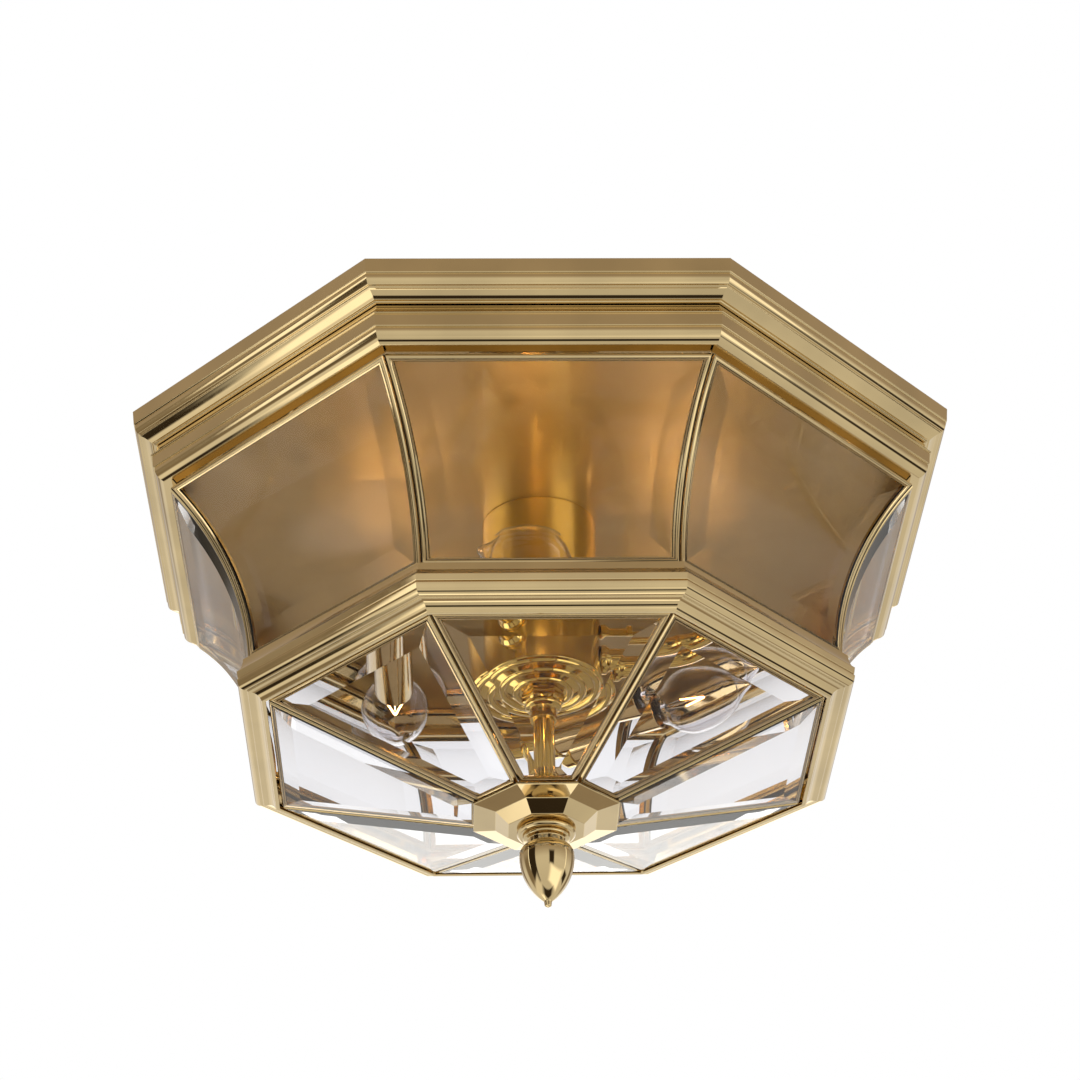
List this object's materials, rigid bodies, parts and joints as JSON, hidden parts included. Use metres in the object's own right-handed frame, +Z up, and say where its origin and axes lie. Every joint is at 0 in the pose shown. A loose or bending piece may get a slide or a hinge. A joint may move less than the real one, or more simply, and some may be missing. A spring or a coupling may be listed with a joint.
{
  "type": "outdoor ceiling light",
  "caption": "Flush ceiling lantern for a porch: an octagonal brass canopy and a glass cage of curved and flat bevelled panes round candle lamps, held up by an acorn finial.",
  "frame": {"origin": "centre of the ceiling plane, on the canopy's top edge and the strap's top face, midway between the two box screw holes", "axes": "+Z up into the ceiling, +X along the strap to the right in the picture, +Y away from the picture's camera; flats of the octagon face X and Y"},
  "size_m": [0.381, 0.381, 0.2173],
  "materials": {
    "polished_brass": "polished and lacquered, mirror-bright",
    "reflector_brass": "satin spun reflector face",
    "came_brass": "polished solder-jointed came",
    "sleeve_brass": "polished brass candle sleeve",
    "bulb_base_brass": "stamped thin brass screw base",
    "shell_brass": "stamped screw shell",
    "zinc_steel": "bright zinc-plated",
    "green_steel": "green-dyed plating",
    "socket_plastic": "moulded phenolic",
    "bevelled_glass": "clear plate with polished bevels",
    "bulb_glass": "clear blown",
    "stem_glass": "clear pressed"
  },
  "bodies": {
    "canopy": {"canopy_ring": "polished_brass", "canopy_pan": "reflector_brass", "mounting_strap": "zinc_steel", "ground_screw": "green_steel", "centre_pipe": "zinc_steel", "lock_nuts": "zinc_steel", "canister": "polished_brass", "canister_cap": "polished_brass", "cap_nut": "polished_brass", "rod_coupling": "polished_brass", "lower_rod": "polished_brass", "arm_collars": "polished_brass", "arm_nuts": "polished_brass", "canister_screws": "polished_brass", "lamp_cups": "polished_brass", "screw_shells": "shell_brass", "arm_1": "polished_brass", "sleeve_1": "sleeve_brass", "socket_1": "socket_plastic", "arm_2": "polished_brass", "sleeve_2": "sleeve_brass", "socket_2": "socket_plastic", "arm_3": "polished_brass", "sleeve_3": "sleeve_brass", "socket_3": "socket_plastic"},
    "cage": {"cage_top_ring": "polished_brass", "band_ring": "polished_brass", "upper_frames": "came_brass", "lower_frames": "came_brass", "cage_cap": "polished_brass", "upper_pane_1": "bevelled_glass", "upper_pane_2": "bevelled_glass", "upper_pane_3": "bevelled_glass", "upper_pane_4": "bevelled_glass", "upper_pane_5": "bevelled_glass", "upper_pane_6": "bevelled_glass", "upper_pane_7": "bevelled_glass", "upper_pane_8": "bevelled_glass", "lower_pane_1": "bevelled_glass", "lower_pane_2": "bevelled_glass", "lower_pane_3": "bevelled_glass", "lower_pane_4": "bevelled_glass", "lower_pane_5": "bevelled_glass", "lower_pane_6": "bevelled_glass", "lower_pane_7": "bevelled_glass", "lower_pane_8": "bevelled_glass"},
    "check_ring": {"check_ring": "polished_brass"},
    "finial": {"finial": "polished_brass"},
    "bulb_1": {"bulb_1_glass": "bulb_glass", "bulb_1_base": "bulb_base_brass", "bulb_1_stem": "stem_glass"},
    "bulb_2": {"bulb_2_glass": "bulb_glass", "bulb_2_base": "bulb_base_brass", "bulb_2_stem": "stem_glass"},
    "bulb_3": {"bulb_3_glass": "bulb_glass", "bulb_3_base": "bulb_base_brass", "bulb_3_stem": "stem_glass"}
  },
  "joints": [
    {"name": "cage_drop", "type": "slide", "parent": "canopy", "child": "cage", "axis": [0, 0, -1], "range_m": [0, 0.22]},
    {"name": "finial_travel", "type": "slide", "parent": "cage", "child": "check_ring", "axis": [0, 0, -1], "range_m": [0, 0.0118]},
    {"name": "finial_turn", "type": "hinge", "parent": "check_ring", "child": "finial", "pos_m": [0, 0, -0.19], "axis": [0, 0, -1], "range_deg": [0, 4500]},
    {"name": "bulb_1_pull", "type": "slide", "parent": "canopy", "child": "bulb_1", "axis": [-0.866, -0.5, 0], "range_m": [0, 0.024]},
    {"name": "bulb_2_pull", "type": "slide", "parent": "canopy", "child": "bulb_2", "axis": [0.866, -0.5, 0], "range_m": [0, 0.024]},
    {"name": "bulb_3_pull", "type": "slide", "parent": "canopy", "child": "bulb_3", "axis": [0, 1, 0], "range_m": [0, 0.024]}
  ],
  "couplings": [
    {"joint": "finial_travel", "follows": "finial_turn", "m_per_rad": 0.00014961}
  ]
}
